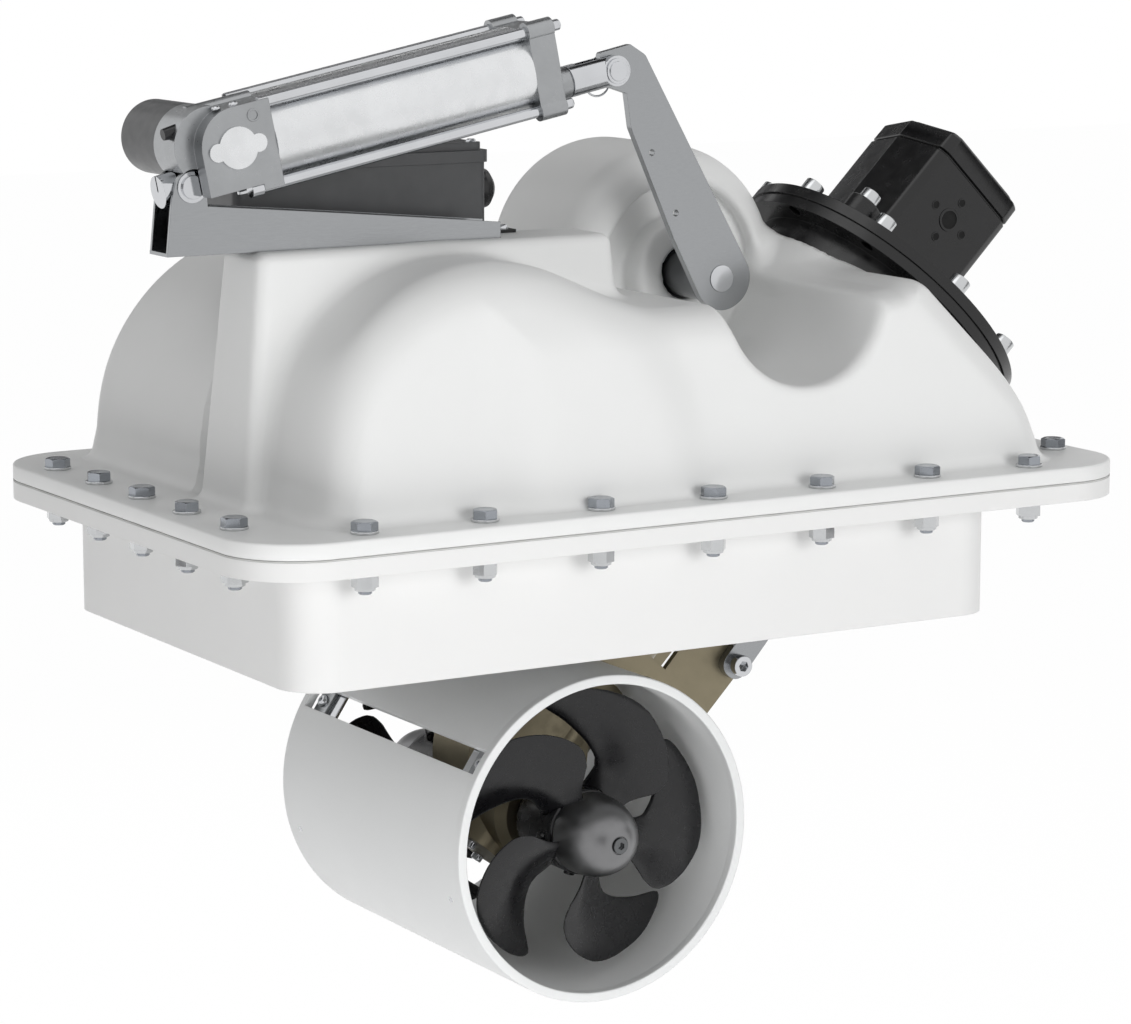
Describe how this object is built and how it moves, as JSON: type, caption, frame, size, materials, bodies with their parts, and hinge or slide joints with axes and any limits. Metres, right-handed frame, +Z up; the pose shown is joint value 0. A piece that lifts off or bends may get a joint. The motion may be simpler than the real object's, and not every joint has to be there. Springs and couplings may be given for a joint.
{
  "type": "hydraulic retractable thruster",
  "caption": "Hydraulic thruster whose ducted propellers swing down out of a flanged hull box, with a linear actuator, lever and tilted gear motor on a moulded cover.",
  "frame": {"origin": "centre of the bolted flange, on the cover flange's top face", "axes": "+X along the flange towards the motor, +Y away from the lever side, +Z up out of the hull"},
  "size_m": [0.6166, 0.37, 0.5767],
  "materials": {
    "gel_white": "satin white moulded laminate",
    "gasket_grey": "pale sealing sheet",
    "stainless": "satin stainless steel",
    "polished_steel": "polished stainless steel",
    "aluminium_cast": "bead blasted aluminium",
    "aluminium_bright": "bright anodised tube",
    "bronze": "dark cast bronze",
    "black_plastic": "black moulded composite",
    "black_metal": "black satin paint",
    "dark_grey": "dark grey paint",
    "dark_aluminium": "dark polished aluminium",
    "bush_plastic": "dark bearing plastic"
  },
  "bodies": {
    "root": {"cover": "gel_white", "lower_box": "gel_white", "flange_gasket": "gasket_grey", "flange_bolts": "stainless", "flange_washers": "stainless", "flange_nuts": "stainless", "shaft_bushes": "bush_plastic", "shaft_seal": "bush_plastic", "hinge_bracket_near": "stainless", "hinge_bracket_far": "stainless", "hinge_bushes": "bush_plastic", "hinge_bolts": "stainless", "actuator_bracket": "stainless", "bracket_pin": "polished_steel", "box_carrier": "black_metal", "control_box": "dark_grey", "control_lid": "dark_grey", "box_connector": "black_plastic", "small_screws": "stainless", "motor_plate": "black_metal", "motor_adapter": "black_metal", "motor_body": "black_metal", "motor_end_cover": "black_metal", "motor_screws": "polished_steel"},
    "lever": {"lever_plate": "stainless", "lever_shaft": "polished_steel", "lever_hub": "polished_steel", "crank": "stainless", "crank_pin": "polished_steel"},
    "coupler": {"coupler_link": "stainless"},
    "swing": {"swing_plate_near": "stainless", "swing_plate_far": "stainless", "hinge_pins": "polished_steel", "coupler_pin": "polished_steel", "leg_casing": "bronze", "leg_bearings": "bush_plastic", "swing_screws": "polished_steel", "tunnel": "gel_white", "tunnel_straps": "stainless"},
    "actuator": {"actuator_housing": "aluminium_cast", "housing_badge": "aluminium_bright", "rear_tang": "polished_steel", "actuator_motor": "dark_grey", "cable_gland": "black_plastic", "actuator_barrel": "aluminium_bright", "actuator_head": "aluminium_cast", "rod_gland": "aluminium_cast", "tie_rods": "polished_steel"},
    "rod": {"piston_rod": "polished_steel", "rod_fork": "polished_steel", "clevis_pins": "polished_steel"},
    "motor_shaft": {"motor_shaft": "stainless"},
    "leg_shaft": {"leg_shaft": "stainless"},
    "prop_near": {"propeller_near": "black_plastic", "nose_cone_near": "dark_aluminium", "prop_shaft_near": "stainless"},
    "prop_far": {"propeller_far": "black_plastic", "nose_cone_far": "dark_aluminium", "prop_shaft_far": "stainless"}
  },
  "joints": [
    {"name": "swing_hinge", "type": "hinge", "parent": "root", "child": "swing", "pos_m": [0.1307, 0, -0.0146], "axis": [0, 1, 0], "range_deg": [0, 56.3]},
    {"name": "lever_hinge", "type": "hinge", "parent": "root", "child": "lever", "pos_m": [0.0781, 0, 0.1107], "axis": [0, 1, 0], "range_deg": [0, 56.3]},
    {"name": "coupler_hinge", "type": "hinge", "parent": "lever", "child": "coupler", "pos_m": [0.04349, 0, 0.06796], "axis": [0, 1, 0], "range_deg": [-56.3, 0]},
    {"name": "actuator_hinge", "type": "hinge", "parent": "root", "child": "actuator", "pos_m": [-0.27535, 0, 0.18198], "axis": [0, 1, 0], "range_deg": [0, 2.69]},
    {"name": "rod_slide", "type": "slide", "parent": "actuator", "child": "rod", "axis": [0.9805, 0, 0.1965], "range_m": [0, 0.13915]},
    {"name": "motor_spin", "type": "hinge", "parent": "root", "child": "motor_shaft", "pos_m": [0.1307, 0, -0.0146], "axis": [0.7071, 0, 0.7071], "continuous": true},
    {"name": "leg_spin", "type": "hinge", "parent": "swing", "child": "leg_shaft", "pos_m": [0.1307, 0, -0.0146], "axis": [0.6587, 0, 0.7524], "continuous": true},
    {"name": "prop_spin_near", "type": "hinge", "parent": "swing", "child": "prop_near", "pos_m": [-0.03852, 0, -0.20789], "axis": [0, 1, 0], "continuous": true},
    {"name": "prop_spin_far", "type": "hinge", "parent": "swing", "child": "prop_far", "pos_m": [-0.03852, 0, -0.20789], "axis": [0, 1, 0], "continuous": true}
  ],
  "couplings": [
    {"joint": "lever_hinge", "follows": "swing_hinge", "ratio": 1},
    {"joint": "coupler_hinge", "follows": "swing_hinge", "ratio": -1},
    {"joint": "actuator_hinge", "follows": "swing_hinge", "ratio": 0.047659},
    {"joint": "rod_slide", "follows": "swing_hinge", "m_per_rad": 0.14151},
    {"joint": "prop_spin_far", "follows": "prop_spin_near", "ratio": -1},
    {"joint": "leg_spin", "follows": "prop_spin_near", "ratio": -1.6},
    {"joint": "motor_spin", "follows": "prop_spin_near", "ratio": -1.6}
  ]
}
